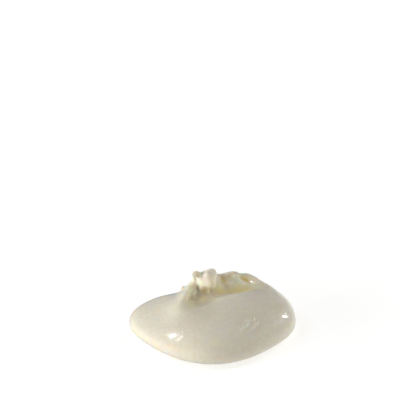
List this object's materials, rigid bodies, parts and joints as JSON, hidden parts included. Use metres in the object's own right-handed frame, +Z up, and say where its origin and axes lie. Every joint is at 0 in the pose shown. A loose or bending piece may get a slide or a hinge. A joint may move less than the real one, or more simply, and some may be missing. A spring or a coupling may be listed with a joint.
{
  "type": "burrata",
  "caption": "Fresh burrata cheese: a soft, sagging pouch of curd with a gathered, pinched knot, fine pleats and a hollow in its crown, resting on a flat foot.",
  "frame": {"origin": "on the table, under the middle of the cheese's box", "axes": "+Z up, +X to the right along the longest side, -Y to the front, which is the lens-shaped side away from the knot"},
  "size_m": [0.101, 0.0842, 0.0338],
  "materials": {
    "curd_skin": "moist, softly glossy curd"
  },
  "bodies": {
    "root": {"burrata": "curd_skin"}
  },
  "joints": []
}
